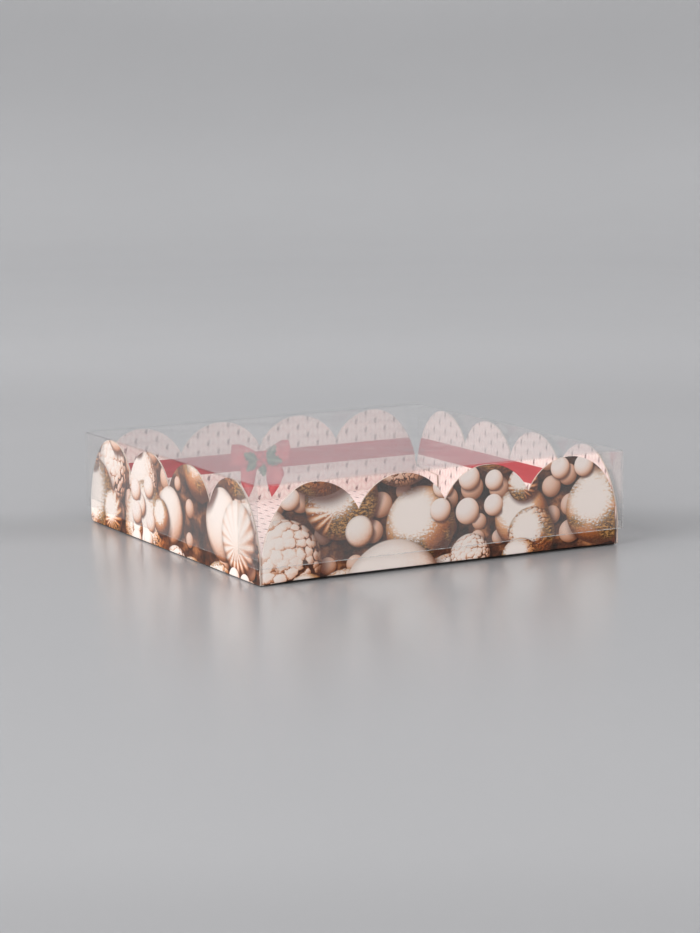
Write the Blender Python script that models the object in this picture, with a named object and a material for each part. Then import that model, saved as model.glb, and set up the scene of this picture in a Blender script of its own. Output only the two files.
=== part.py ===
"""Low square gift tray for biscuits, folded from printed card, with a clear lift-off lid.

The tray is one die-cut card blank: a base, four walls with scalloped tops, and four glue flaps
that turn the corners. The lid is one creased clear film blank: a top, four skirts and four flaps.
Every panel between two creases is its own object. Units are metres, +Z is up, and the origin is
at the middle of the tray's underside.
"""

import math

import bmesh
import bpy
from mathutils import Matrix, Vector

# Tray, outer sizes
TRAY_LENGTH = 0.130
TRAY_DEPTH = 0.130
WALL_HEIGHT = 0.0307
CARD = 0.0005

# Scalloped top of each wall
SCALLOPS = 4
END_CROWN_INSET = 0.01895
SCALLOP_DROP = 0.0100
CORNER_HEIGHT = 0.0085
FLANK_LEAN_SHARE = 0.063
FLANK_RISE_SHARE = 0.45
FLANK_CROWN_SHARE = 0.554
ARC_STEPS = 24
FLANK_STEPS = 16

# Glue flaps inside the left and right walls
TRAY_FLAP_LENGTH = 0.0150
TRAY_FLAP_TAPER = 0.0015

# Clear lid
FILM = 0.0003
SKIRT_DEPTH = 0.0257
LID_FLAP_LENGTH = 0.0140
LID_FLAP_TAPER = 0.0020

# Clearances
CREASE_GAP = 0.0003
LID_FIT = 0.0003
LID_SEAT = 0.0003

# Derived sizes of the tray
TRAY_FOLD = CARD + CREASE_GAP
BASE_LENGTH = TRAY_LENGTH - 2 * TRAY_FOLD
BASE_DEPTH = TRAY_DEPTH - 2 * TRAY_FOLD

# Derived sizes of the lid: its flaps pass between the tray and the skirts
LID_FOLD = FILM + CREASE_GAP
LID_OVERHANG = LID_FIT + FILM + LID_FOLD
LID_LENGTH = TRAY_LENGTH + 2 * LID_OVERHANG
LID_DEPTH = TRAY_DEPTH + 2 * LID_OVERHANG
LID_UNDERSIDE = WALL_HEIGHT + LID_SEAT
LID_TOP = LID_UNDERSIDE + FILM
SKIRT_TOP = LID_UNDERSIDE - CREASE_GAP
SKIRT_FOOT = LID_TOP - SKIRT_DEPTH

# Turn about Z that brings the front side round to each other side
SIDE_TURNS = {"front": 0.0, "right": math.pi / 2, "back": math.pi, "left": -math.pi / 2}


def clear_scene():
    """Removes every object that the file holds."""
    for item in list(bpy.data.objects):
        bpy.data.objects.remove(item, do_unlink=True)


def make_material(name, colour, roughness, metallic=0.0, alpha=1.0, transmission=0.0):
    """Returns one Principled material."""
    material = bpy.data.materials.new(name)
    material.use_nodes = True
    shader = material.node_tree.nodes["Principled BSDF"]
    shader.inputs["Base Color"].default_value = (*colour, 1.0)
    shader.inputs["Roughness"].default_value = roughness
    shader.inputs["Metallic"].default_value = metallic
    shader.inputs["Alpha"].default_value = alpha
    shader.inputs["Transmission Weight"].default_value = transmission
    material.diffuse_color = (*colour, alpha)
    return material


def printed_card(name):
    """Coated card: a warm white and brown ornament print outside."""
    return make_material(name, (0.62, 0.42, 0.30), 0.45)


def lined_card(name):
    """The card's inner face: a pale pink knitted print."""
    return make_material(name, (0.80, 0.62, 0.60), 0.55)


def clear_film(name):
    """Thin clear film."""
    return make_material(name, (0.93, 0.95, 0.96), 0.06, alpha=0.25, transmission=1.0)


def bezier(start, start_handle, end_handle, end, steps):
    """Points of a cubic curve, without its first point."""
    points = []
    for step in range(1, steps + 1):
        t = step / steps
        u = 1 - t
        points.append(
            u ** 3 * Vector(start)
            + 3 * u ** 2 * t * Vector(start_handle)
            + 3 * u * t ** 2 * Vector(end_handle)
            + t ** 3 * Vector(end)
        )
    return points


def arc(start, end, rise, steps):
    """Points of an arc that rises above its chord, from start to end, without its first point."""
    half = (Vector(end) - Vector(start)).length / 2
    radius = (half ** 2 + rise ** 2) / (2 * rise)
    centre = (Vector(start) + Vector(end)) / 2 - Vector((0, radius - rise))
    first = math.atan2(start[1] - centre.y, start[0] - centre.x)
    last = math.atan2(end[1] - centre.y, end[0] - centre.x)
    points = []
    for step in range(1, steps + 1):
        angle = first + (last - first) * step / steps
        points.append(centre + radius * Vector((math.cos(angle), math.sin(angle))))
    return points


def scalloped_outline(length, end_cut):
    """Outline of a wall in its own plane, counter-clockwise from the foot's left end.

    The crowns keep their places from the tray's corners, and end_cut shortens the wall at both
    ends, where it turns into a flap.
    """
    half = length / 2
    end = half - end_cut
    crown = half - END_CROWN_INSET
    pitch = 2 * crown / (SCALLOPS - 1)
    valley = WALL_HEIGHT - SCALLOP_DROP
    rise = WALL_HEIGHT - CORNER_HEIGHT
    inset = end - crown

    corner = (end, CORNER_HEIGHT)
    lean = (end - FLANK_LEAN_SHARE * inset, CORNER_HEIGHT + FLANK_RISE_SHARE * rise)
    shoulder = (crown + FLANK_CROWN_SHARE * inset, WALL_HEIGHT)
    flank = [Vector(corner)] + bezier(corner, lean, shoulder, (crown, WALL_HEIGHT), FLANK_STEPS)

    valleys = [crown - pitch * (index + 1 / 2) for index in range(SCALLOPS - 1)]
    half_arc = arc((crown + pitch / 2, valley), (valleys[0], valley), SCALLOP_DROP, ARC_STEPS)
    middle = half_arc[ARC_STEPS // 2:]
    for left, right in zip(valleys[1:], valleys[:-1]):
        middle += arc((right, valley), (left, valley), SCALLOP_DROP, ARC_STEPS)
    last_crown = arc((valleys[-1], valley), (-crown - pitch / 2, valley), SCALLOP_DROP, ARC_STEPS)
    middle += last_crown[:ARC_STEPS // 2 - 1]

    far_flank = [Vector((-point.x, point.y)) for point in reversed(flank)]
    return [Vector((-end, 0)), Vector((end, 0))] + flank + middle + far_flank


def rectangle(low_x, low_y, high_x, high_y):
    """Corners of a rectangle, counter-clockwise."""
    return [
        Vector((low_x, low_y)),
        Vector((high_x, low_y)),
        Vector((high_x, high_y)),
        Vector((low_x, high_y)),
    ]


def tapered_flap(foot, top, length, taper):
    """Outline of a glue flap that reaches along +X and narrows towards its free end."""
    return [
        Vector((0, foot)),
        Vector((length, foot + taper)),
        Vector((length, top - taper)),
        Vector((0, top)),
    ]


def make_plate(name, outline, thickness, frame, material, parent):
    """One flat panel: an outline in its plane, thickened along the frame's third axis."""
    bm = bmesh.new()
    face = bm.faces.new([bm.verts.new((point.x, point.y, 0)) for point in outline])
    grown = bmesh.ops.extrude_face_region(bm, geom=[face])
    moved = [item for item in grown["geom"] if isinstance(item, bmesh.types.BMVert)]
    bmesh.ops.translate(bm, verts=moved, vec=(0, 0, thickness))
    bmesh.ops.recalc_face_normals(bm, faces=bm.faces)
    bmesh.ops.triangulate(bm, faces=bm.faces, ngon_method="EAR_CLIP")
    mesh = bpy.data.meshes.new(name)
    bm.to_mesh(mesh)
    bm.free()
    item = bpy.data.objects.new(name, mesh)
    bpy.context.scene.collection.objects.link(item)
    mesh.materials.append(material)
    item.parent = parent
    item.matrix_world = frame
    return item


def make_empty(name, location):
    """An unseen handle that carries the panels of one folded blank."""
    item = bpy.data.objects.new(name, None)
    item.location = location
    item.empty_display_size = TRAY_LENGTH / 2
    bpy.context.scene.collection.objects.link(item)
    bpy.context.view_layer.update()
    return item


def upright_frame(side, distance, along=0.0):
    """Frame of an upright panel on one side of the box.

    Its first axis runs along the side, its second is +Z and its third points outwards. The frame
    lies at a distance out from the middle.
    """
    turn = Matrix.Rotation(SIDE_TURNS[side], 4, "Z")
    stand = Matrix(((1, 0, 0, along), (0, 0, -1, -distance), (0, 1, 0, 0), (0, 0, 0, 1)))
    return turn @ stand


def build_tray():
    """Base, four scalloped walls and the four flaps that turn the corners."""
    tray = make_empty("tray_blank", (0, 0, 0))
    outer = printed_card("printed_card")
    inner = lined_card("lined_card")

    base = rectangle(-BASE_LENGTH / 2, -BASE_DEPTH / 2, BASE_LENGTH / 2, BASE_DEPTH / 2)
    make_plate("tray_base", base, CARD, Matrix.Identity(4), inner, tray)

    long_wall = scalloped_outline(TRAY_LENGTH, TRAY_FOLD)
    side_wall = scalloped_outline(TRAY_DEPTH, 0)
    for side in ("front", "back"):
        frame = upright_frame(side, TRAY_DEPTH / 2 - CARD)
        make_plate(f"tray_wall_{side}", long_wall, CARD, frame, outer, tray)
    for side in ("left", "right"):
        frame = upright_frame(side, TRAY_LENGTH / 2 - CARD)
        make_plate(f"tray_wall_{side}", side_wall, CARD, frame, outer, tray)

    flap = tapered_flap(TRAY_FOLD, CORNER_HEIGHT, TRAY_FLAP_LENGTH, TRAY_FLAP_TAPER)
    for side in ("left", "right"):
        build_flaps("tray_flap", side, flap, BASE_LENGTH / 2 - CARD, BASE_DEPTH / 2, CARD, inner, tray)


def build_flaps(kind, side, outline, distance, reach, thickness, material, parent):
    """The two flaps that lie inside one side, each starting at an end of it."""
    for end in ("front", "back"):
        starts_left = (side == "right") == (end == "front")
        outline_here = outline if starts_left else mirrored(outline)
        along = -reach if starts_left else reach
        frame = upright_frame(side, distance, along)
        make_plate(f"{kind}_{end}_{side}", outline_here, thickness, frame, material, parent)


def mirrored(outline):
    """The same outline reaching along -X, still counter-clockwise."""
    return [Vector((-point.x, point.y)) for point in reversed(outline)]


def build_lid():
    """Top, four skirts and the four flaps that hold the film's corners together."""
    lid = make_empty("lid_blank", (0, 0, LID_UNDERSIDE))
    film = clear_film("clear_film")

    top = rectangle(-LID_LENGTH / 2, -LID_DEPTH / 2, LID_LENGTH / 2, LID_DEPTH / 2)
    make_plate("lid_top", top, FILM, Matrix.Translation((0, 0, LID_UNDERSIDE)), film, lid)

    short = LID_LENGTH / 2 - LID_FOLD
    front_skirt = rectangle(-short, SKIRT_FOOT, short, SKIRT_TOP)
    side_skirt = rectangle(-LID_DEPTH / 2, SKIRT_FOOT, LID_DEPTH / 2, SKIRT_TOP)
    for side in ("front", "back"):
        frame = upright_frame(side, LID_DEPTH / 2 - FILM)
        make_plate(f"lid_skirt_{side}", front_skirt, FILM, frame, film, lid)
    for side in ("left", "right"):
        frame = upright_frame(side, LID_LENGTH / 2 - FILM)
        make_plate(f"lid_skirt_{side}", side_skirt, FILM, frame, film, lid)

    flap = tapered_flap(SKIRT_FOOT, SKIRT_TOP, LID_FLAP_LENGTH, LID_FLAP_TAPER)
    for side in ("left", "right"):
        distance = LID_LENGTH / 2 - LID_FOLD - FILM
        build_flaps("lid_flap", side, flap, distance, LID_DEPTH / 2 - LID_FOLD, FILM, film, lid)


def main():
    """Builds the tray and its lid."""
    clear_scene()
    build_tray()
    build_lid()


main()
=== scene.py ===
"""Looks of a cookie box: a low card tray with a clear lift-off lid.

The tray and the lid are folded blanks, so each wall bends round its creases as one sheet. Lengths
are in metres. The prints are drawn in millimetres, on the flat blank that a UV map holds or in the
piece's own space.
"""

import math

import bmesh
import bpy
from mathutils import Matrix, Vector


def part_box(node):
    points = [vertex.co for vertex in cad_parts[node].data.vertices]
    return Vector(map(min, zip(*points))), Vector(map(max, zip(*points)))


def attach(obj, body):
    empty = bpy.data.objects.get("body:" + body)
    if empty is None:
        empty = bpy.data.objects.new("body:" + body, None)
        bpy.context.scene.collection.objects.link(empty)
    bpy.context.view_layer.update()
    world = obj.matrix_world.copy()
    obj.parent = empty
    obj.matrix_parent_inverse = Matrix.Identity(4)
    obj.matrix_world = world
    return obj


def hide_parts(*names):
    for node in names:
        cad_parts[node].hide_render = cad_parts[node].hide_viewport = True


MM = 0.001

# Camera, fitted to the tray's feet, far corner and scallops
IMAGE_HEIGHT = 933
FOCAL_PIXELS = 2591
SENSOR = 36.0
NEAR_LIMIT = 0.01
CAMERA_AZIMUTH = math.radians(-28.37)
CAMERA_ELEVATION = math.radians(9.18)
CAMERA_ROLL = math.radians(-0.60)
CAMERA_PLACE = (-0.40456, -0.75179, 0.16040)

# Faces of clear film that light may pass before it stops
FILM_FACES_PASSED = 24

# Scalloped top of each wall
SCALLOPS = 4
END_CROWN_INSET = 0.01895
SCALLOP_DROP = 0.0100
CORNER_HEIGHT = 0.0085
ARC_STEPS = 48
FLANK_STEPS = 24

# Outer side of an end scallop: how far its curve leans in, rises and reaches along the crown
FLANK_SHARES = (0.063, 0.45, 0.554)
FULL_FLANK_SHARES = (0.0, 0.70, 0.46)

# Flaps, and the width of the pale rim along the skirt's foot
TRAY_FLAP_LENGTH = 0.0150
TRAY_FLAP_TAPER = 0.0015
LID_FLAP_LENGTH = 0.0140
LID_FLAP_TAPER = 0.0020
LID_FLAP_STEP = 0.0026
FILM_RIM = 0.00025

# Sheet meshes: steps in a bend, rows up a skirt, and the spacing of the cuts. Edges under the angle
# are shaded smooth, and gaps of the last two sizes count as none.
BEND_STEPS = 6
SKIRT_ROWS = 5
CARD_CUT = 0.004
FILM_CUT = 0.004
SMOOTH_ANGLE = math.radians(40)
TINY = 1e-7
WELD = 1e-6

# Materials of a sheet: outer face, inner face and cut edge
OUTER = 0
INNER = 1
CUT = 2

# Small bows of the film: the skirts bulge over a share of a half wave, and the top sags
SKIRT_BOW = 0.00030
SKIRT_WAVE_SHARE = 0.7
TOP_SAG = 0.00022

# The base rests on its middle: its whole rim lifts, and its front and back bow up more
FOOT_RADIUS = 0.00040
RIM_LIFT = 0.00025
RIM_POWER = 6
BOW_LIFT = 0.00065
BOW_POWER = 10
LIFT_FADE = 0.006

# Depths of fine relief
PAPER_GRAIN = 0.0002
FIBRE_DEPTH = 0.0001
FILM_RIPPLE = 0.002

# Sheen of the surfaces: roughness, and how strongly they mirror
PRINT_SPECULAR = 0.18
CARD_ROUGHNESS = 0.45
CARD_SPECULAR = 0.25
CORE_ROUGHNESS = 0.8
EDGE_ROUGHNESS = 0.25
PAPER_ROUGHNESS = 0.24

# Each side's turn round the box, and its place along the print in millimetres
SIDE_TURNS = {"front": 0.0, "right": math.pi / 2, "back": math.pi, "left": -math.pi / 2}
PRINT_SHIFTS = {"front": 0.0, "right": 171.0, "back": 353.0, "left": 528.0}
FLAPPED_SIDES = ("front", "back")


def srgb(red, green, blue):
    """Linear colour of three screen values from 0 to 255."""
    linear = []
    for value in (red, green, blue):
        part = value / 255
        linear.append(part / 12.92 if part <= 0.04045 else ((part + 0.055) / 1.055) ** 2.4)
    return (*linear, 1.0)


class Graph:
    """Short calls that add nodes to one material."""

    def __init__(self, name):
        self.material = bpy.data.materials.new(name)
        self.material.use_nodes = True
        self.tree = self.material.node_tree
        self.tree.nodes.clear()

    def node(self, kind, **settings):
        made = self.tree.nodes.new(kind)
        for key, value in settings.items():
            setattr(made, key, value)
        return made

    def plug(self, socket, value):
        if isinstance(value, bpy.types.NodeSocket):
            self.tree.links.new(value, socket)
        elif value is not None:
            socket.default_value = value

    def math(self, operation, first, second=None, third=None, clamp=False):
        made = self.node("ShaderNodeMath", operation=operation, use_clamp=clamp)
        for socket, value in zip(made.inputs, (first, second, third)):
            self.plug(socket, value)
        return made.outputs[0]

    def vector(self, operation, first, second=None, scale=None):
        made = self.node("ShaderNodeVectorMath", operation=operation)
        self.plug(made.inputs[0], first)
        self.plug(made.inputs[1], second)
        self.plug(made.inputs[3], scale)
        return made.outputs["Value" if operation in ("LENGTH", "DOT_PRODUCT") else "Vector"]

    def parts(self, vector):
        made = self.node("ShaderNodeSeparateXYZ")
        self.plug(made.inputs[0], vector)
        return made.outputs[0], made.outputs[1], made.outputs[2]

    def join(self, x, y, z=0.0):
        made = self.node("ShaderNodeCombineXYZ")
        for socket, value in zip(made.inputs, (x, y, z)):
            self.plug(socket, value)
        return made.outputs[0]

    def smooth(self, value, low, high, to_low=0.0, to_high=1.0):
        """Smooth step: to_low at low and to_high at high. Low may be above high."""
        made = self.node("ShaderNodeMapRange", interpolation_type="SMOOTHSTEP")
        for socket, item in zip(made.inputs, (value, low, high, to_low, to_high)):
            self.plug(socket, item)
        return made.outputs[0]

    def within(self, value, low, high, soft):
        """1 where a value lies from low to high, with soft ends."""
        rise = self.smooth(value, low - soft, low + soft)
        fall = self.smooth(value, high + soft, high - soft)
        return self.math("MULTIPLY", rise, fall)

    def mix(self, factor, first, second, blend="MIX"):
        made = self.node("ShaderNodeMix", data_type="RGBA", blend_type=blend)
        self.plug(made.inputs[0], factor)
        self.plug(made.inputs[6], first)
        self.plug(made.inputs[7], second)
        return made.outputs[2]

    def ramp(self, value, stops, kind="LINEAR"):
        """Colour ramp of (place, colour) stops."""
        made = self.node("ShaderNodeValToRGB")
        made.color_ramp.interpolation = kind
        points = made.color_ramp.elements
        while len(points) < len(stops):
            points.new(0.5)
        for point, (place, colour) in zip(points, stops):
            point.position = place
            point.color = colour
        self.plug(made.inputs[0], value)
        return made.outputs[0]

    def noise(self, vector, scale, detail=2.0, roughness=0.5):
        made = self.node("ShaderNodeTexNoise")
        self.plug(made.inputs["Vector"], vector)
        made.inputs["Scale"].default_value = scale
        made.inputs["Detail"].default_value = detail
        made.inputs["Roughness"].default_value = roughness
        return made.outputs[0]

    def stir(self, vector, scale):
        """Noise in three directions, to push places about."""
        made = self.node("ShaderNodeTexNoise")
        self.plug(made.inputs["Vector"], vector)
        made.inputs["Scale"].default_value = scale
        return made.outputs["Color"]

    def cells(self, vector, randomness, feature="F1"):
        made = self.node("ShaderNodeTexVoronoi", voronoi_dimensions="2D", feature=feature)
        self.plug(made.inputs["Vector"], vector)
        made.inputs["Scale"].default_value = 1.0
        made.inputs["Randomness"].default_value = randomness
        return made

    def flat_place(self):
        """Place on the flat blank, in millimetres."""
        made = self.node("ShaderNodeUVMap", uv_map="blank")
        return made.outputs[0]

    def solid_place(self):
        """Place in the piece's own space, in millimetres."""
        made = self.node("ShaderNodeTexCoord")
        return self.vector("SCALE", made.outputs["Object"], scale=1 / MM)

    def bump(self, height, strength, distance):
        made = self.node("ShaderNodeBump")
        made.inputs["Strength"].default_value = strength
        made.inputs["Distance"].default_value = distance
        self.plug(made.inputs["Height"], height)
        return made.outputs[0]

    def surface(self, colour, roughness, specular=0.5, normal=None):
        """Shader of a surface that nothing shows through."""
        made = self.node("ShaderNodeBsdfPrincipled")
        self.plug(made.inputs["Base Color"], colour)
        self.plug(made.inputs["Roughness"], roughness)
        self.plug(made.inputs["Specular IOR Level"], specular)
        self.plug(made.inputs["Normal"], normal)
        return made.outputs[0]

    def blend(self, share, first, second):
        """A share of the second shader, and the first shader for the rest."""
        made = self.node("ShaderNodeMixShader")
        for socket, value in zip(made.inputs, (share, first, second)):
            self.plug(socket, value)
        return made.outputs[0]

    def finish(self, shader):
        """Makes a shader the material's surface and hands the material over."""
        output = self.node("ShaderNodeOutputMaterial")
        self.tree.links.new(shader, output.inputs["Surface"])
        return self.material


# Light painted on the beads: its direction, the tone it adds and the tone without it, and how far a
# bead's shadow moves as shares of the bead's radius
PRINT_LIGHT = (-0.36, 0.50, 0.79)
LIT_TONE = 0.62
UNLIT_TONE = 0.34
SHADOW_SHARES = (0.10, -0.14, 0.0)


def layer_spot(g, place, layer):
    """Place on a layer's own grid, one unit to a bead."""
    return g.vector("ADD", g.vector("SCALE", place, scale=1 / layer["pitch"]), (*layer["shift"], 0.0))


def three_chances(g, cells):
    """Three random numbers that each cell keeps."""
    chance = g.node("ShaderNodeSeparateColor")
    g.plug(chance.inputs[0], cells.outputs["Color"])
    return chance.outputs


def bead_layer(g, place, layer):
    """Whole round beads in no set order: how far they cover, their light and what tells them apart."""
    spot = layer_spot(g, place, layer)
    cells = g.cells(spot, layer["randomness"])
    room = g.cells(spot, layer["randomness"], "N_SPHERE_RADIUS")
    chance = three_chances(g, cells)
    radius = g.math("MINIMUM", room.outputs["Radius"], layer["most"])
    offset = g.vector("SUBTRACT", spot, cells.outputs["Position"])
    lean = g.vector("SCALE", offset, scale=g.math("DIVIDE", 1.0, radius))
    lean_x, lean_y, _ = g.parts(lean)
    flat_lean = g.join(lean_x, lean_y)
    reach = g.vector("LENGTH", flat_lean)
    depth = g.math("SQRT", g.math("MAXIMUM", g.math("SUBTRACT", 1.0, g.math("POWER", reach, 2.0)), 0.0))
    light = g.vector("DOT_PRODUCT", g.join(lean_x, lean_y, depth), PRINT_LIGHT)
    shown = g.math("GREATER_THAN", chance[0], layer["hidden"])

    # The shadow fades out where the next bead's room begins
    shadow_reach = g.vector("LENGTH", g.vector("SUBTRACT", flat_lean, SHADOW_SHARES))
    border = g.cells(spot, layer["randomness"], "DISTANCE_TO_EDGE")
    shadow = g.math(
        "MULTIPLY",
        g.smooth(shadow_reach, 1.20, 0.88, 0.0, 0.9),
        g.smooth(border.outputs["Distance"], 0.0, 0.06),
    )
    return {
        "x": lean_x,
        "y": lean_y,
        "reach": reach,
        "light": light,
        "value": g.math("MULTIPLY_ADD", light, LIT_TONE, UNLIT_TONE, clamp=True),
        "cover": g.math("MULTIPLY", g.smooth(reach, 1.0, 0.97), shown),
        "cast": g.math("MULTIPLY", shadow, shown),
        "middle": g.vector("SUBTRACT", spot, offset),
        "kind": chance[1],
        "tint": chance[2],
    }


# Layers of beads: pitch in millimetres, shift of the grid in pitches, largest radius as a share of
# the pitch, and the share that is left out. A bunch has a reach in place of the radius.
BEHIND = {"pitch": 9.0, "shift": (3.10, 7.70), "randomness": 0.55, "most": 0.46, "hidden": 0.25}
BACK = {"pitch": 30.0, "shift": (0.37, 0.62), "randomness": 0.50, "most": 0.50, "hidden": 0.0}
LARGE = {"pitch": 37.0, "shift": (7.71, 2.28), "randomness": 0.65, "most": 0.48, "hidden": 0.22}
MEDIUM = {"pitch": 19.0, "shift": (5.21, 3.48), "randomness": 0.80, "most": 0.42, "hidden": 0.70}
FRONT = {"pitch": 9.0, "shift": (9.30, 1.20), "randomness": 0.32, "most": 0.48, "hidden": 0.0}
BUNCH = {"pitch": 33.0, "shift": (4.40, 8.15), "randomness": 0.85, "reach": 0.42, "hidden": 0.60}

# Chances from 0 to 1 at which a bead is sugared, petalled or fluted, and from which it is amber
SUGARED_FROM = 0.34
PETALLED_FROM = 0.60
FLUTED_FROM = 0.86
AMBER_FROM = 0.45

CREAM_STOPS = (
    (0.00, srgb(70, 34, 20)),
    (0.16, srgb(124, 72, 46)),
    (0.34, srgb(196, 130, 92)),
    (0.50, srgb(229, 183, 157)),
    (0.68, srgb(243, 220, 206)),
    (0.90, srgb(247, 234, 226)),
)
AMBER_STOPS = (
    (0.00, srgb(150, 78, 34)),
    (0.14, srgb(58, 23, 10)),
    (0.38, srgb(94, 45, 19)),
    (0.56, srgb(174, 98, 48)),
    (0.74, srgb(225, 162, 110)),
    (0.92, srgb(246, 228, 212)),
)
PEARL_STOPS = (
    (0.00, srgb(92, 49, 31)),
    (0.22, srgb(160, 100, 68)),
    (0.42, srgb(218, 166, 137)),
    (0.60, srgb(239, 208, 191)),
    (0.84, srgb(248, 234, 227)),
)
DARK_BROWN = srgb(28, 12, 7)
SHADOW = srgb(104, 53, 34)
SHADE_BROWN = srgb(92, 48, 30)
GOLD = srgb(216, 158, 88)
WARM_WHITE = srgb(248, 235, 227)


def bead_relief(g, place, bead):
    """How each kind of bead is lighter or darker than a smooth one."""
    contour = g.math("ABSOLUTE", g.math("SUBTRACT", g.noise(place, 0.42, 2.0, 0.6), 0.5))
    curls = g.smooth(contour, 0.055, 0.015, 0.04, -0.38)
    shy = g.smooth(bead["light"], 1.0, 0.35, 0.22, 1.0)
    sugared = g.math("MULTIPLY", curls, shy)

    # Petals and flutes wrap round the bead, and show less where it is bright
    stir = g.vector("SCALE", g.stir(place, 0.45), scale=0.9)
    wrap = g.math("MULTIPLY_ADD", g.math("POWER", bead["reach"], 2.0), 1.9, 3.3)
    skin = g.vector("ADD", g.vector("SCALE", g.join(bead["x"], bead["y"]), scale=wrap), stir)
    scales = g.cells(skin, 0.7)
    dimple = g.vector("SUBTRACT", skin, scales.outputs["Position"])
    slope = g.vector("DOT_PRODUCT", dimple, (-0.50, 0.70, 0.0))
    edge = g.math("MULTIPLY", g.smooth(scales.outputs["Distance"], 0.40, 0.66, 0.0, 0.75), shy)
    petalled = g.math("SUBTRACT", g.math("MULTIPLY", slope, 0.50), edge)

    turn = g.math("ARCTAN2", g.math("ADD", bead["y"], 0.25), g.math("ADD", bead["x"], 0.15))
    ribs = g.math("SINE", g.math("MULTIPLY", turn, 17.0))
    fluted = g.math("MULTIPLY", ribs, g.smooth(bead["reach"], 0.1, 0.7, 0.06, 0.22))

    relief = 0.0
    for start, choice in ((SUGARED_FROM, sugared), (PETALLED_FROM, petalled), (FLUTED_FROM, fluted)):
        chosen = g.math("GREATER_THAN", bead["kind"], start)
        step = g.math("MULTIPLY", chosen, g.math("SUBTRACT", choice, relief))
        relief = g.math("ADD", relief, step)
    return relief


def paint_bead(g, place, bead):
    """Colour of one layer's beads: cream or amber glass, and smooth, sugared, petalled or fluted."""
    brush = g.noise(g.vector("MULTIPLY", place, (1.0, 1.7, 1.0)), 0.85, 4.0, 0.8)
    stroke = g.math("SUBTRACT", brush, 0.5)
    brushed = g.math("MULTIPLY_ADD", stroke, 0.42, bead["value"])
    tone = g.math("ADD", brushed, bead_relief(g, place, bead), clamp=True)
    amber = g.ramp(tone, AMBER_STOPS)

    # Brushed gold lies in drifts, and a white pane of light has ragged ends
    drift = g.smooth(g.noise(place, 0.085, 2.0), 0.47, 0.60, 0.0, 0.9)
    grains = g.smooth(brush, 0.43, 0.62)
    amber = g.mix(drift, amber, g.mix(grains, DARK_BROWN, GOLD))
    pane = g.vector("LENGTH", g.join(g.math("ADD", bead["x"], 0.22), g.math("SUBTRACT", bead["y"], 0.26)))
    ragged = g.math("MULTIPLY_ADD", stroke, 1.5, pane)
    amber = g.mix(g.smooth(ragged, 0.72, 0.50), amber, WARM_WHITE)

    gilded = g.math("GREATER_THAN", bead["tint"], AMBER_FROM)
    colour = g.mix(gilded, g.ramp(tone, CREAM_STOPS), amber)
    shaded = g.smooth(bead["light"], 0.7, 0.1, 0.2, 0.8)
    rim = g.math("MULTIPLY", g.smooth(bead["reach"], 0.80, 1.0), shaded)
    return g.mix(rim, colour, SHADE_BROWN)


def lay_over(g, colour, layer, paint, shown=1.0):
    """Lays one layer of beads and its warm shadow over the layers behind."""
    colour = g.mix(g.math("MULTIPLY", layer["cast"], shown), colour, SHADOW, "MULTIPLY")
    return g.mix(g.math("MULTIPLY", layer["cover"], shown), colour, paint)


def outer_print():
    """Warm festive print: large beads, small pearls and brown shadow, in no set order."""
    g = Graph("outer_print")
    place = g.flat_place()

    colour = g.ramp(
        g.noise(place, 0.16, 4.0, 0.6),
        ((0.36, srgb(30, 14, 8)), (0.52, srgb(92, 48, 28)), (0.66, srgb(176, 112, 70))),
    )
    behind = bead_layer(g, place, BEHIND)
    pearls = g.ramp(g.math("MULTIPLY", behind["value"], 0.62), PEARL_STOPS)
    colour = lay_over(g, colour, behind, pearls)
    for spread in (BACK, LARGE, MEDIUM):
        layer = bead_layer(g, place, spread)
        colour = lay_over(g, colour, layer, paint_bead(g, place, layer))

    # Bunches of pearls lie in front, each pearl whole
    front = bead_layer(g, place, FRONT)
    middle = g.vector("SUBTRACT", front["middle"], (*FRONT["shift"], 0.0))
    middle = g.vector("SCALE", middle, scale=FRONT["pitch"])
    bunch = g.cells(layer_spot(g, middle, BUNCH), BUNCH["randomness"])
    near = g.math("LESS_THAN", bunch.outputs["Distance"], BUNCH["reach"])
    chosen = g.math("GREATER_THAN", three_chances(g, bunch)[0], BUNCH["hidden"])
    shown = g.math("MULTIPLY", near, chosen)
    colour = lay_over(g, colour, front, g.ramp(front["value"], PEARL_STOPS), shown)

    # Ink is laid on smooth coated card
    grain = g.noise(place, 2.2, 3.0, 0.6)
    colour = g.mix(g.smooth(grain, 0.3, 0.7, 0.0, 0.04), colour, WARM_WHITE)
    roughness = g.smooth(grain, 0.2, 0.8, 0.30, 0.40)
    return g.finish(g.surface(colour, roughness, PRINT_SPECULAR, g.bump(grain, 0.05, PAPER_GRAIN)))


# Inner print in millimetres: the size of a stitch, and the places of the band and the bow
STITCH_WIDTH = 3.95
STITCH_HEIGHT = 3.1
BAND_LOW = 12.7
BAND_HIGH = 19.2
BAND_SOFT = 0.06
BOW_CENTRE = 0.4
BOW_ROUNDING = 0.5

# Rows that a strand climbs over one stitch's width
STITCH_SLANT = 1.3

# Corners of the bow's left tail, right tail, left loop and right loop, counter-clockwise
BOW_SHAPES = (
    ((-8.2, 8.2), (-5.2, 2.8), (-3.2, 6.4), (-1.6, 13.6), (-8.2, 14.2)),
    ((1.9, 8.4), (3.9, 2.0), (7.0, 5.8), (9.2, 10.2), (8.0, 13.8), (1.8, 13.8)),
    ((-12.8, 14.6), (-1.0, 14.2), (-1.0, 18.6), (-3.8, 20.2), (-8.0, 22.3), (-11.6, 22.4)),
    ((0.8, 14.2), (8.0, 14.4), (11.2, 15.2), (11.8, 19.4), (10.9, 22.4), (8.2, 22.5), (0.8, 18.8)),
)

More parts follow.
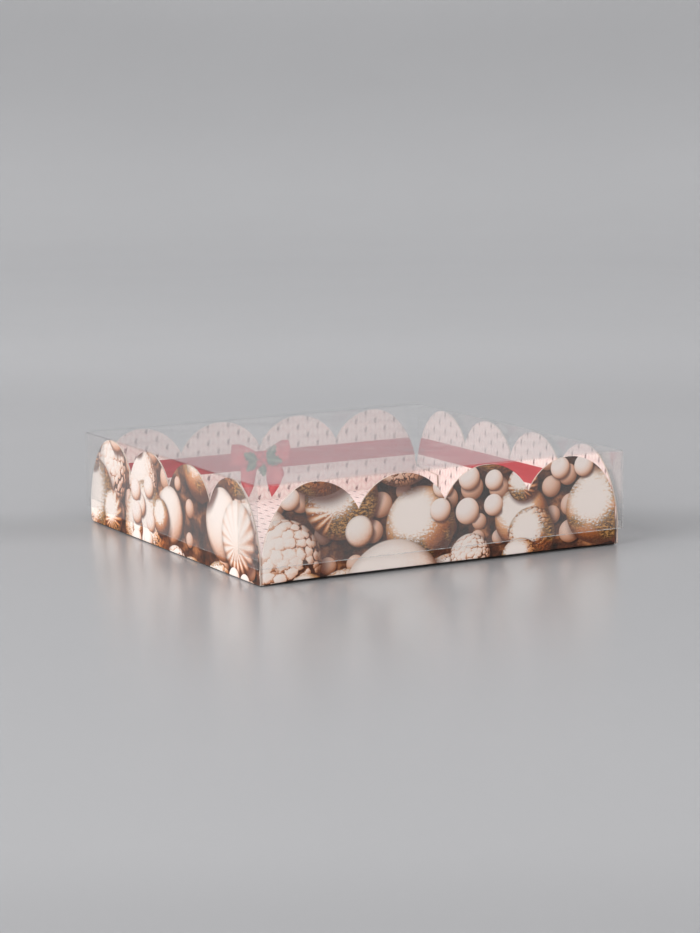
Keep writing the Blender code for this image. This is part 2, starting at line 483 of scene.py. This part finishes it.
# Leaves by middle, half length, half width and angle, then berries by middle and radius
BOW_LEAVES = (
    ((-3.9, 17.0), 3.6, 2.5, math.radians(148)),
    ((-3.7, 14.2), 3.0, 2.2, math.radians(-140)),
    ((4.0, 18.4), 3.2, 2.3, math.radians(52)),
    ((4.9, 15.4), 3.8, 2.5, math.radians(-12)),
    ((0.5, 12.6), 2.9, 2.0, math.radians(-78)),
)
BOW_BERRIES = (((-0.5, 17.6), 1.6), ((0.9, 15.9), 1.5), ((-0.7, 14.7), 1.4))

YARN_LIGHT = srgb(240, 227, 222)
YARN_DEEP = srgb(227, 202, 198)
FLECK = srgb(112, 82, 84)
RIBBON_DEEP = srgb(167, 46, 52)
RIBBON_LIGHT = srgb(183, 62, 68)
RED = srgb(198, 72, 80)
RED_DEEP = srgb(160, 48, 55)
RED_LIGHT = srgb(222, 106, 110)
LEAF = srgb(70, 98, 76)
LEAF_LIGHT = srgb(122, 146, 122)


def knit(g, place):
    """Pale pink stocking stitch, with small dark gaps at every other stitch."""
    across, up, _ = g.parts(place)
    column = g.math("DIVIDE", across, STITCH_WIDTH)
    inside = g.math("SUBTRACT", g.math("FRACT", column), 0.5)
    side = g.math("ABSOLUTE", inside)
    row = g.math("SUBTRACT", g.math("DIVIDE", up, STITCH_HEIGHT), g.math("MULTIPLY", side, STITCH_SLANT))
    phase = g.math("FRACT", row)
    strand = g.math("SINE", g.math("MULTIPLY", phase, math.pi))
    lobe = g.math("SINE", g.math("MULTIPLY", side, 2 * math.pi))
    height = g.math("MULTIPLY", g.math("POWER", strand, 0.6), g.math("POWER", lobe, 0.4))
    fuzz = g.noise(place, 1.0, 3.0, 0.7)
    soft = g.math("MULTIPLY_ADD", fuzz, 0.7, g.math("MULTIPLY", height, 0.45))
    colour = g.mix(g.smooth(soft, 0.25, 0.85), YARN_DEEP, YARN_LIGHT)

    count = g.math("ADD", g.math("FLOOR", column), g.math("FLOOR", row))
    other = g.math("GREATER_THAN", g.math("FLOORED_MODULO", count, 2.0), 0.5)
    tilt = g.math("MULTIPLY_ADD", g.math("SUBTRACT", phase, 0.5), 0.16, inside)
    thin = g.smooth(g.math("ABSOLUTE", tilt), 0.18, 0.08)
    mark = g.math("MULTIPLY", thin, g.within(phase, 0.22, 0.80, 0.12))
    mark = g.math("MULTIPLY", g.math("MULTIPLY", mark, other), g.smooth(fuzz, 0.30, 0.60, 0.35, 0.90))
    return g.mix(mark, colour, FLECK), height


def convex(g, across, up, corners):
    """Cover of a convex shape with rounded corners, and how far in from its edge a place lies."""
    edge = None
    for start, end in zip(corners, corners[1:] + corners[:1]):
        run = Vector((end[0] - start[0], end[1] - start[1])).normalized()
        away = -(start[0] * -run.y + start[1] * run.x)
        here = g.math("MULTIPLY_ADD", up, run.x, g.math("MULTIPLY_ADD", across, -run.y, away))
        edge = here if edge is None else g.math("SMOOTH_MIN", edge, here, BOW_ROUNDING)
    return g.smooth(edge, -0.08, 0.10), edge


def leaf(g, across, up, middle, length, width, angle):
    """Cover of a holly leaf with toothed edges, and of its middle vein."""
    cosine, sine = math.cos(angle), math.sin(angle)
    out_x = g.math("SUBTRACT", across, middle[0])
    out_y = g.math("SUBTRACT", up, middle[1])
    along = g.math("MULTIPLY_ADD", out_x, cosine / length, g.math("MULTIPLY", out_y, sine / length))
    beside = g.math("MULTIPLY_ADD", out_y, cosine / width, g.math("MULTIPLY", out_x, -sine / width))
    bulge = g.math("SUBTRACT", 1.0, g.math("POWER", g.math("ABSOLUTE", along), 2.0))
    teeth = g.math("ABSOLUTE", g.math("SINE", g.math("MULTIPLY", along, 2.5 * math.pi)))
    limit = g.math("MULTIPLY", bulge, g.math("MULTIPLY_ADD", teeth, -0.34, 1.0))
    gap = g.math("SUBTRACT", limit, g.math("ABSOLUTE", beside))
    vein = g.smooth(g.math("ABSOLUTE", beside), 0.22, 0.05)
    return g.smooth(gap, -0.04, 0.06), vein


def paint_bow(g, place, colour):
    """A ribbon bow with holly leaves on the middle of the back wall."""
    x, _, up = g.parts(place)
    across = g.math("SUBTRACT", x, BOW_CENTRE)
    for corners in BOW_SHAPES:
        cover, edge = convex(g, across, up, corners)
        folds = g.noise(g.join(across, g.math("MULTIPLY", up, 0.5)), 0.32, 2.0)
        tone = g.math("ADD", g.smooth(edge, 0.0, 1.6, 0.0, 0.25), g.math("MULTIPLY", folds, 0.9))
        colour = g.mix(cover, colour, g.ramp(tone, ((0.20, RED_DEEP), (0.48, RED), (0.80, RED_LIGHT))))
    for middle, length, width, angle in BOW_LEAVES:
        cover, vein = leaf(g, across, up, middle, length, width, angle)
        colour = g.mix(cover, colour, g.mix(vein, LEAF, LEAF_LIGHT))
    for middle, radius in BOW_BERRIES:
        out = g.join(g.math("SUBTRACT", across, middle[0]), g.math("SUBTRACT", up, middle[1]))
        reach = g.math("DIVIDE", g.vector("LENGTH", out), radius)
        berry = g.ramp(reach, ((0.1, RED_LIGHT), (0.5, RED), (1.0, RED_DEEP)))
        colour = g.mix(g.smooth(reach, 1.03, 0.93), colour, berry)
    return colour


def card_shader(g, colour, height):
    """Matt card with its print."""
    normal = g.bump(height, 0.04, PAPER_GRAIN)
    return g.finish(g.surface(colour, CARD_ROUGHNESS, CARD_SPECULAR, normal))


def inner_print(name, with_bow):
    """The walls' inner face: knitted print and a red band all the way round."""
    g = Graph(name)
    place = g.flat_place()
    colour, height = knit(g, place)
    solid = g.solid_place()
    _, _, up = g.parts(solid)
    band = g.within(up, BAND_LOW, BAND_HIGH, BAND_SOFT)
    satin = g.noise(g.vector("MULTIPLY", solid, (0.25, 0.25, 1.6)), 0.6, 2.0)
    ribbon = g.ramp(satin, ((0.25, RIBBON_DEEP), (0.75, RIBBON_LIGHT)))
    colour = g.mix(band, colour, ribbon)
    if with_bow:
        colour = paint_bow(g, solid, colour)
    return card_shader(g, colour, height)


def base_lining():
    """The base's upper face: the same knitted print."""
    g = Graph("base_lining")
    colour, height = knit(g, g.flat_place())
    return card_shader(g, colour, height)


def bare_board():
    """The base's underside: plain grey board with short fibres."""
    g = Graph("bare_board")
    solid = g.solid_place()
    fibre = g.noise(g.vector("MULTIPLY", solid, (1.0, 3.0, 1.0)), 0.8, 4.0, 0.7)
    colour = g.ramp(fibre, ((0.3, srgb(206, 200, 192)), (0.7, srgb(226, 221, 214))))
    return card_shader(g, colour, fibre)


def card_core():
    """White fibres where the card is cut."""
    g = Graph("card_core")
    fibre = g.noise(g.solid_place(), 3.0, 4.0, 0.7)
    colour = g.ramp(fibre, ((0.3, srgb(186, 164, 150)), (0.7, srgb(212, 194, 182))))
    return g.finish(g.surface(colour, CORE_ROUGHNESS, normal=g.bump(fibre, 0.3, FIBRE_DEPTH)))


WHITE = (1.0, 1.0, 1.0, 1.0)
BLACK = (0.0, 0.0, 0.0, 1.0)
FILM_INDEX = 1.5
FILM_CLEAR = (0.994, 0.994, 0.993, 1.0)
# Painted shade: the grey that the front and left top folds take, as they look dark from the camera
FILM_FOLD_SHADE = (0.91, 0.91, 0.91, 1.0)
FILM_EDGE = (0.62, 0.61, 0.60, 1.0)

# The film's pale edge is fainter on the left, as painted shade: where its fade starts and ends, in
# millimetres in from the lid's side, and the share that shows there
EDGE_FADE_START = 0.3
EDGE_FADE_END = 3.2
EDGE_LEFT_SHADED_SHARE = 0.35


def film_gloss(g, ripple):
    """Share of light that one face of the film mirrors, the same from both its sides."""
    facing = g.node("ShaderNodeNewGeometry")
    index = g.smooth(facing.outputs["Backfacing"], 0.0, 1.0, FILM_INDEX, 1 / FILM_INDEX)
    mirror = g.node("ShaderNodeFresnel")
    g.plug(mirror.inputs["IOR"], index)
    g.plug(mirror.inputs["Normal"], ripple)
    return mirror.outputs[0]


def painted_fold_shade(g, place, half, fold, top):
    """1 on the lid's front and left top folds, greyed by painted shade as they look dark from the camera.
    """
    x, y, up = g.parts(place)
    outermost = g.math("MAXIMUM", g.math("MULTIPLY", x, -1.0), g.math("MULTIPLY", y, -1.0))
    outer = g.math("GREATER_THAN", outermost, (half - fold) / MM)
    return g.math("MULTIPLY", outer, g.math("GREATER_THAN", up, (top - fold) / MM))


def clear_film(half, fold, top):
    """Thin clear film that mirrors more at a slant, with slight ripples and painted shade on two folds.
    """
    g = Graph("clear_film_sheet")
    place = g.solid_place()
    ripple = g.bump(g.noise(place, 0.035), 0.20, FILM_RIPPLE)
    smudge = g.noise(place, 0.09, 3.0, 0.6)
    # Painted shade greys the front and left top folds
    greyed_folds = painted_fold_shade(g, place, half, fold, top)
    through = g.node("ShaderNodeBsdfTransparent")
    g.plug(through.inputs["Color"], g.mix(greyed_folds, FILM_CLEAR, FILM_FOLD_SHADE))
    gloss = g.node("ShaderNodeBsdfAnisotropic")
    g.plug(gloss.inputs["Color"], WHITE)
    g.plug(gloss.inputs["Roughness"], g.smooth(smudge, 0.3, 0.7, 0.03, 0.09))
    g.plug(gloss.inputs["Normal"], ripple)
    return g.finish(g.blend(film_gloss(g, ripple), through.outputs[0], gloss.outputs[0]))


def film_edge(half):
    """The film's cut edge and the narrow rim beside it, paler than its faces, faint on the left by
    painted shade.
    """
    g = Graph("clear_film_edge")
    place = g.solid_place()
    x, _, _ = g.parts(place)
    left = -half / MM
    shown = g.smooth(x, left + EDGE_FADE_START, left + EDGE_FADE_END, EDGE_LEFT_SHADED_SHARE, 1.0)
    fleck = g.smooth(g.noise(place, 0.4), 0.3, 0.7, 0.15, 0.50)
    through = g.node("ShaderNodeBsdfTransparent")
    pale = g.surface(FILM_EDGE, EDGE_ROUGHNESS)
    return g.finish(g.blend(g.math("MULTIPLY", fleck, shown), through.outputs[0], pale))


def bezier(start, start_handle, end_handle, end, steps):
    """Points of a cubic curve, without its first point."""
    points = []
    for step in range(1, steps + 1):
        t = step / steps
        u = 1 - t
        points.append(
            u ** 3 * Vector(start)
            + 3 * u ** 2 * t * Vector(start_handle)
            + 3 * u * t ** 2 * Vector(end_handle)
            + t ** 3 * Vector(end)
        )
    return points


def arc(start, end, rise, steps):
    """Points of an arc that rises above its chord, without its first point."""
    half = (Vector(end) - Vector(start)).length / 2
    radius = (half ** 2 + rise ** 2) / (2 * rise)
    centre = (Vector(start) + Vector(end)) / 2 - Vector((0, radius - rise))
    first = math.atan2(start[1] - centre.y, start[0] - centre.x)
    last = math.atan2(end[1] - centre.y, end[0] - centre.x)
    points = []
    for step in range(1, steps + 1):
        angle = first + (last - first) * step / steps
        points.append(centre + radius * Vector((math.cos(angle), math.sin(angle))))
    return points


def flank(crown, height, end, shares):
    """Outer side of an end scallop, from the wall's corner up to the crown."""
    lean_share, rise_share, crown_share = shares
    corner = (end, CORNER_HEIGHT)
    lean = (end - lean_share * (end - crown), CORNER_HEIGHT + rise_share * (height - CORNER_HEIGHT))
    shoulder = (crown + crown_share * (end - crown), height)
    return [Vector(corner)] + bezier(corner, lean, shoulder, (crown, height), FLANK_STEPS)


def scalloped_top(half, height, end, right_shares=FLANK_SHARES):
    """The wall's top edge from its right end to its left end."""
    crown = half - END_CROWN_INSET
    pitch = 2 * crown / (SCALLOPS - 1)
    valley = height - SCALLOP_DROP
    right_flank = flank(crown, height, end, right_shares)
    left_flank = [Vector((-point.x, point.y)) for point in flank(crown, height, end, FLANK_SHARES)]
    valleys = [crown - pitch * (index + 1 / 2) for index in range(SCALLOPS - 1)]
    first_crown = arc((crown + pitch / 2, valley), (valleys[0], valley), SCALLOP_DROP, ARC_STEPS)
    middle = first_crown[ARC_STEPS // 2:]
    for left, right in zip(valleys[1:], valleys[:-1]):
        middle += arc((right, valley), (left, valley), SCALLOP_DROP, ARC_STEPS)
    last_crown = arc((valleys[-1], valley), (-crown - pitch / 2, valley), SCALLOP_DROP, ARC_STEPS)
    middle += last_crown[:ARC_STEPS // 2 - 1]
    return right_flank + middle + left_flank[::-1]


def bend(distance, radius, offset):
    """How far along and inwards a point lies, a distance past the start of a quarter bend."""
    angle = min(distance / radius, math.pi / 2)
    beyond = max(distance - radius * math.pi / 2, 0.0)
    along = (radius + offset) * math.sin(angle)
    inward = radius - (radius + offset) * math.cos(angle) + beyond
    return along, inward


def steps_over(start, length, count):
    """Places of the cuts that make a bend smooth."""
    return [start + length * step / count for step in range(count + 1)]


def is_cut(face):
    """Whether a face of a flat slab runs through its thickness."""
    heights = [vert.co.z for vert in face.verts]
    return max(heights) - min(heights) > TINY


class Sheet:
    """One panel of a folded blank, drawn flat and then bent at its creases."""

    def __init__(self, side, half, radius, thickness):
        self.side = side
        self.half = half
        self.radius = radius
        self.thickness = thickness
        self.quarter = radius * math.pi / 2
        self.end = half - radius
        self.turn = half - 2 * radius if side in FLAPPED_SIDES else math.inf

    def unbend(self, across):
        """Where a place on the bent corner lies on the flat blank."""
        past = abs(across) - self.turn
        if past <= 0:
            return across
        return math.copysign(self.turn + self.radius * math.asin(min(1.0, past / self.radius)), across)

    def flat(self, outline, cuts_across, cuts_up, open_at=None):
        """A slab of the outline, cut along the given lines and closed but for the end at open_at."""
        bm = bmesh.new()
        face = bm.faces.new([bm.verts.new((point[0], point[1], 0.0)) for point in outline])
        grown = bmesh.ops.extrude_face_region(bm, geom=[face])
        moved = [item for item in grown["geom"] if isinstance(item, bmesh.types.BMVert)]
        bmesh.ops.translate(bm, verts=moved, vec=(0, 0, -self.thickness))
        bmesh.ops.recalc_face_normals(bm, faces=bm.faces)
        for axis, places in ((Vector((1, 0, 0)), cuts_across), (Vector((0, 1, 0)), cuts_up)):
            for place in places:
                bmesh.ops.bisect_plane(
                    bm,
                    geom=bm.verts[:] + bm.edges[:] + bm.faces[:],
                    plane_co=axis * place,
                    plane_no=axis,
                    dist=TINY,
                )
        if open_at is not None:
            ends = [
                face
                for face in bm.faces
                if all(abs(vert.co.y - open_at) < WELD for vert in face.verts)
            ]
            bmesh.ops.delete(bm, geom=ends, context="FACES_ONLY")
        return bm

    def paint(self, bm, shift=0.0):
        """Stores the flat place in millimetres and picks outer, inner or cut-edge material."""
        layer = bm.loops.layers.uv.new("blank")
        for face in bm.faces:
            if is_cut(face):
                face.material_index = CUT
            elif face.verts[0].co.z > -self.thickness / 2:
                face.material_index = OUTER
            else:
                face.material_index = INNER
            for loop in face.loops:
                loop[layer].uv = (loop.vert.co.x / MM + shift, loop.vert.co.y / MM)

    def paint_rim(self, bm, foot):
        """Gives the cut edge's material to the narrow rim along the sheet's foot and its flaps' feet."""
        flap = self.turn + self.quarter - TINY
        for face in bm.faces:
            middle = face.calc_center_median()
            low = foot + LID_FLAP_STEP if abs(middle.x) > flap else foot
            if low < middle.y < low + FILM_RIM:
                face.material_index = CUT

    def place(self, point, fold_height, fold_radius, fold_up, bow=0.0):
        """Folds one flat point and puts it on its side of the box."""
        across, up, offset = point
        depth = -offset
        height = up
        if fold_up and up > fold_height + TINY:
            along, depth = bend(up - fold_height, fold_radius, offset)
            height = fold_height + along
        elif not fold_up and up < fold_height - TINY:
            along, depth = bend(fold_height - up, fold_radius, offset)
            height = fold_height - along
        elif abs(across) > self.turn:
            along, depth = bend(abs(across) - self.turn, self.radius, offset)
            across = math.copysign(self.turn + along, across)
        turn = Matrix.Rotation(SIDE_TURNS[self.side], 3, "Z")
        return turn @ Vector((across, depth - self.half - bow, height))


def to_object(bm, name, materials):
    """Makes an object with smooth bends and crisp cut edges."""
    mesh = bpy.data.meshes.new(name)
    bm.to_mesh(mesh)
    bm.free()
    for material in materials:
        mesh.materials.append(material)
    mesh.polygons.foreach_set("use_smooth", [True] * len(mesh.polygons))
    mesh.set_sharp_from_angle(angle=SMOOTH_ANGLE)
    item = bpy.data.objects.new(name, mesh)
    bpy.context.scene.collection.objects.link(item)
    return item


def grid(limit, step):
    """Even cuts between two limits."""
    count = round(2 * limit / step)
    return [limit * (2 * index / count - 1) for index in range(1, count)]


def mirrored(points):
    """The same points on the other end, in the order that closes an outline."""
    return [(-point[0], point[1]) for point in reversed(points)]


def corner_cuts(sheet):
    """Cuts that make both corner bends of a panel smooth."""
    bends = steps_over(sheet.turn, sheet.quarter, BEND_STEPS)
    return bends + [-place for place in bends]


def square(end):
    """Corners of a square panel, counter-clockwise."""
    return [(-end, -end), (end, -end), (end, end), (-end, end)]


def raised(point, end):
    """A point of the tray after its rim and its bowed front and back have lifted."""
    across = min(1.0, abs(point.x) / end)
    along = min(1.0, abs(point.y) / end)
    rim = RIM_LIFT * max(across, along) ** RIM_POWER
    bow = BOW_LIFT * along ** RIM_POWER * (1 - across ** BOW_POWER)
    fade = max(0.0, 1 - point.z / LIFT_FADE)
    return Vector((point.x, point.y, point.z + (rim + bow) * fade))


def card_wall(side, half, height, fold, card, materials):
    """A scalloped wall that bends under into the base and, where it has flaps, round the corners."""
    sheet = Sheet(side, half, fold, card)
    crease = FOOT_RADIUS
    quarter = FOOT_RADIUS * math.pi / 2
    foot = crease - quarter - (fold - FOOT_RADIUS)
    if side in FLAPPED_SIDES:
        start = sheet.turn + sheet.quarter
        tip = start + TRAY_FLAP_LENGTH
        right = [
            (sheet.end, foot),
            (sheet.turn, crease),
            (start, crease),
            (tip, crease + TRAY_FLAP_TAPER),
            (tip, CORNER_HEIGHT - TRAY_FLAP_TAPER),
        ]
        right_shares = FULL_FLANK_SHARES if side == "front" else FLANK_SHARES
        top = scalloped_top(half, height, sheet.end, right_shares)
        cuts = grid(sheet.turn, CARD_CUT) + corner_cuts(sheet)
    else:
        right = [(sheet.end, foot), (sheet.end, crease), (half, crease)]
        top = scalloped_top(half, height, half)
        cuts = grid(half, CARD_CUT)
    outline = right + [(sheet.unbend(point.x), point.y) for point in top] + mirrored(right)
    rows = steps_over(crease - quarter, quarter, BEND_STEPS) + [LIFT_FADE]
    bm = sheet.flat(outline, cuts, rows)
    sheet.paint(bm, PRINT_SHIFTS[side])
    for vert in bm.verts:
        vert.co = raised(sheet.place(vert.co, crease, FOOT_RADIUS, False), sheet.end)
    return to_object(bm, f"card_wall_{side}", materials)


def card_base(end, card, materials):
    """The base between the walls' creases."""
    sheet = Sheet("left", end, 0.0, card)
    cuts = grid(end, CARD_CUT)
    bm = sheet.flat(square(end), cuts, cuts)
    sheet.paint(bm)
    for vert in bm.verts:
        vert.co.z += card
        vert.co = raised(vert.co, end)
    return to_object(bm, "card_base", materials)


def lid_top_panel(half, top, fold, film):
    """The lid's top between its folds, open all round because the skirts join it there."""
    sheet = Sheet("front", half, fold, film)
    end = sheet.end
    cuts = grid(end, FILM_CUT)
    inner_bends = [place for place in corner_cuts(sheet) if abs(place) < end]
    bm = sheet.flat(square(end), cuts + inner_bends, cuts)
    bmesh.ops.delete(bm, geom=[face for face in bm.faces if is_cut(face)], context="FACES_ONLY")
    sheet.paint(bm)
    for vert in bm.verts:
        dip = TOP_SAG * (1 - (vert.co.x / end) ** 2) * (1 - (vert.co.y / end) ** 2)
        vert.co.z += top - dip
    return bm


def lid_skirt(side, half, top, foot, fold, film):
    """A skirt that bends into the lid's top and, where it has flaps, round the corners."""
    sheet = Sheet(side, half, fold, film)
    end = sheet.end
    crease = top - fold
    head = crease + sheet.quarter
    cuts = grid(end, FILM_CUT)
    if side in FLAPPED_SIDES:
        start = sheet.turn + sheet.quarter
        tip = start + LID_FLAP_LENGTH
        right = [
            (start, foot),
            (start, foot + LID_FLAP_STEP),
            (tip, foot + LID_FLAP_STEP),
            (tip, crease - LID_FLAP_TAPER),
            (start, crease),
            (sheet.turn, crease),
            (end, head),
        ]
        cuts += corner_cuts(sheet)
    else:
        right = [(half, foot), (half, crease), (end, crease), (end, head)]
    rows = steps_over(crease, sheet.quarter, BEND_STEPS)
    rows += [foot + (crease - foot) * step / SKIRT_ROWS for step in range(1, SKIRT_ROWS)]
    rows += [foot + FILM_RIM, foot + LID_FLAP_STEP + FILM_RIM]
    bm = sheet.flat(right + mirrored(right), cuts, rows, open_at=head)
    sheet.paint(bm)
    sheet.paint_rim(bm, foot)
    for vert in bm.verts:
        share = max(0.0, 1 - (vert.co.x / end) ** 2)
        drop = min(1.0, max(0.0, (crease - vert.co.y) / (crease - foot)))
        bow = SKIRT_BOW * share * math.sin(drop * math.pi * SKIRT_WAVE_SHARE)
        vert.co = sheet.place(vert.co, crease, fold, True, bow)
    return bm


def lid_sheet(half, top, foot, fold, film, materials):
    """The whole lid as one folded film: a top, four skirts and four flaps inside the skirts."""
    whole = bmesh.new()
    add_to(whole, lid_top_panel(half, top, fold, film))
    for side in SIDE_TURNS:
        add_to(whole, lid_skirt(side, half, top, foot, fold, film))
    bmesh.ops.remove_doubles(whole, verts=whole.verts, dist=WELD)
    return to_object(whole, "lid_film", materials)


def add_to(whole, bm):
    """Adds one panel to the whole blank."""
    mesh = bpy.data.meshes.new("panel")
    bm.to_mesh(mesh)
    bm.free()
    whole.from_mesh(mesh)
    bpy.data.meshes.remove(mesh)


# Round sweep of the studio: rings on the flat floor, then a quarter bend and an upright wall
SWEEP_FLAT = 1.10
SWEEP_RING = 0.10
SWEEP_RADIUS = 1.30
SWEEP_TOP = 2.2
SWEEP_BEND_STEPS = 24
SWEEP_TURNS = 96


def sweep_profile():
    """Distance from the middle and height of each ring of the sweep."""
    profile = [(SWEEP_RING * step, 0.0) for step in range(round(SWEEP_FLAT / SWEEP_RING) + 1)]
    for step in range(1, SWEEP_BEND_STEPS + 1):
        angle = math.pi / 2 * step / SWEEP_BEND_STEPS
        distance = SWEEP_FLAT + SWEEP_RADIUS * math.sin(angle)
        profile.append((distance, SWEEP_RADIUS * (1 - math.cos(angle))))
    return profile + [(SWEEP_FLAT + SWEEP_RADIUS, SWEEP_TOP)]


def studio_sweep():
    """A pale floor that curves up into a round backdrop."""
    bm = bmesh.new()
    rings = []
    for distance, height in sweep_profile():
        ring = []
        for index in range(SWEEP_TURNS if distance > 0 else 1):
            angle = 2 * math.pi * index / SWEEP_TURNS
            ring.append(bm.verts.new((distance * math.cos(angle), distance * math.sin(angle), height)))
        rings.append(ring)
    for inner, outer in zip(rings[:-1], rings[1:]):
        for index in range(SWEEP_TURNS):
            after = (index + 1) % SWEEP_TURNS
            if len(inner) == 1:
                bm.faces.new((inner[0], outer[index], outer[after]))
            else:
                bm.faces.new((inner[index], outer[index], outer[after], inner[after]))
    item = to_object(bm, "studio_sweep", [sweep_paper()])


# Painted light: greys of the floor and backdrop by their share of the way from the near to the far
# depth. Depths are in millimetres along the camera's view, 0 at the tray's middle.
DEPTH_NEAR = -500.0
DEPTH_FAR = 2000.0
PAPER_BLUE = 1.02
PAINTED_LIGHT_GREYS = (
    (0.040, 0.300),
    (0.064, 0.335),
    (0.180, 0.314),
    (0.240, 0.331),
    (0.308, 0.350),
    (0.428, 0.434),
    (0.755, 0.486),
    (0.890, 0.434),
    (1.000, 0.556),
)

# The faint darker band across the floor at a set depth along the camera's view: its depth, its half
# width and the share of black
DARK_BAND_DEPTH = 14.0
DARK_BAND_WIDTH = 40.0
DARK_BAND_SHARE = 0.16
MOTTLE_SHARE = 0.02


def sweep_paper():
    """Smooth grey paper with a soft sheen, lighter at the back by painted light, and a faint darker band.
    """
    g = Graph("sweep_paper")
    place = g.solid_place()
    depth = g.vector("DOT_PRODUCT", place, (-math.sin(CAMERA_AZIMUTH), math.cos(CAMERA_AZIMUTH), 0.0))
    share = g.node("ShaderNodeMapRange")
    for socket, value in zip(share.inputs, (depth, DEPTH_NEAR, DEPTH_FAR, 0.0, 1.0)):
        g.plug(socket, value)
    stops = [(stop, (grey, grey, grey * PAPER_BLUE, 1.0)) for stop, grey in PAINTED_LIGHT_GREYS]
    colour = g.ramp(share.outputs[0], stops, "EASE")
    band_offset = g.math("ABSOLUTE", g.math("SUBTRACT", depth, DARK_BAND_DEPTH))
    colour = g.mix(g.smooth(band_offset, DARK_BAND_WIDTH, 0.0, 0.0, DARK_BAND_SHARE), colour, BLACK)
    mottle = g.noise(place, 0.004, 3.0, 0.6)
    colour = g.mix(g.smooth(mottle, 0.3, 0.7, 0.0, MOTTLE_SHARE), colour, BLACK)
    return g.finish(g.surface(colour, PAPER_ROUGHNESS))


# Lamps: place, size and power. A large lamp is less bright where the film mirrors it.
LAMPS = {
    "key_light": ((-1.58, -0.02, 0.95), (1.5, 1.5), 42.0),
    "fill_light": ((0.75, -1.60, 0.95), (3.0, 1.9), 35.5),
    "top_light": ((0.0, 0.35, 1.88), (1.6, 1.6), 11.0),
}
LAMP_TARGET = (0.0, 0.0, 0.0)
WORLD_COLOUR = (0.985, 0.985, 1.0, 1.0)
WORLD_STRENGTH = 0.45


def soft_light(name, place, size, power):
    """A rectangular soft light that faces the tray's middle."""
    lamp = bpy.data.lights.new(name, "AREA")
    lamp.shape = "RECTANGLE"
    lamp.size, lamp.size_y = size
    lamp.energy = power
    item = bpy.data.objects.new(name, lamp)
    item.location = place
    item.rotation_euler = (Vector(LAMP_TARGET) - Vector(place)).to_track_quat("-Z", "Y").to_euler()
    bpy.context.scene.collection.objects.link(item)


def studio_lights():
    """Broad, plain lights: a key on the left, a fill on the right, one above and a pale world."""
    for name, (place, size, power) in LAMPS.items():
        soft_light(name, place, size, power)
    world = bpy.data.worlds.new("studio")
    world.use_nodes = True
    background = world.node_tree.nodes["Background"]
    background.inputs["Color"].default_value = WORLD_COLOUR
    background.inputs["Strength"].default_value = WORLD_STRENGTH
    bpy.context.scene.world = world


def studio_camera():
    """The camera at the photograph's viewing angle."""
    back = Vector(
        (
            math.sin(CAMERA_AZIMUTH) * math.cos(CAMERA_ELEVATION),
            -math.cos(CAMERA_AZIMUTH) * math.cos(CAMERA_ELEVATION),
            math.sin(CAMERA_ELEVATION),
        )
    )
    right = Vector((math.cos(CAMERA_AZIMUTH), math.sin(CAMERA_AZIMUTH), 0))
    up = back.cross(right)
    rolled_right = right * math.cos(CAMERA_ROLL) + up * math.sin(CAMERA_ROLL)
    rolled_up = up * math.cos(CAMERA_ROLL) - right * math.sin(CAMERA_ROLL)
    lens = bpy.data.cameras.new("camera")
    lens.sensor_fit = "VERTICAL"
    lens.sensor_height = SENSOR
    lens.lens = FOCAL_PIXELS / IMAGE_HEIGHT * SENSOR
    lens.clip_start = NEAR_LIMIT
    item = bpy.data.objects.new("camera", lens)
    turn = Matrix((rolled_right, rolled_up, back)).transposed().to_4x4()
    item.matrix_world = Matrix.Translation(CAMERA_PLACE) @ turn
    bpy.context.scene.collection.objects.link(item)
    bpy.context.scene.camera = item


def build_tray():
    """Card walls with their creases and flaps, and the base between them."""
    low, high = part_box("tray_wall_left")
    base_low, base_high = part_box("tray_base")
    half = -low[0]
    height = high[2]
    card = base_high[2] - base_low[2]
    fold = half - base_high[0]
    outer = outer_print()
    plain = inner_print("inner_print", False)
    bowed = inner_print("inner_print_bow", True)
    core = card_core()
    for side in ("front", "back", "left", "right"):
        inner = bowed if side == "back" else plain
        wall = card_wall(side, half, height, fold, card, (outer, inner, core))
        nodes = [f"tray_wall_{side}"]
        if side in FLAPPED_SIDES:
            nodes += [f"tray_flap_{side}_left", f"tray_flap_{side}_right"]
        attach(wall, "tray")
        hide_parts(*nodes)
    base = card_base(base_high[0], card, (base_lining(), bare_board(), core))
    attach(base, "tray")
    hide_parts("tray_base")


def build_lid():
    """The lid as one folded sheet of film."""
    low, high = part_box("lid_top")
    skirt_low, skirt_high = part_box("lid_skirt_front")
    half = high[0]
    film = high[2] - low[2]
    fold = half - skirt_high[0]
    clear = clear_film(half, fold, high[2])
    sheet = lid_sheet(half, high[2], skirt_low[2], fold, film, (clear, clear, film_edge(half)))
    nodes = ["lid_top"] + [f"lid_skirt_{side}" for side in SIDE_TURNS]
    nodes += [f"lid_flap_{end}_{side}" for end in FLAPPED_SIDES for side in ("left", "right")]
    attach(sheet, "lid")
    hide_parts(*nodes)


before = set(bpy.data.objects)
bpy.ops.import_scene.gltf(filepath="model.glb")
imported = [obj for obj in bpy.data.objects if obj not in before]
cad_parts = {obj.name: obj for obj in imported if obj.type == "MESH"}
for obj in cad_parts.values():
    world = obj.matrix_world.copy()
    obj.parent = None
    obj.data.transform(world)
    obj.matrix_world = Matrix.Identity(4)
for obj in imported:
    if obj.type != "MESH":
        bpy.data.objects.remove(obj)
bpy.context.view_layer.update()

bpy.context.scene.view_settings.view_transform = "Standard"
bpy.context.scene.cycles.transparent_max_bounces = FILM_FACES_PASSED

build_tray()
build_lid()
studio_sweep()
studio_lights()
studio_camera()
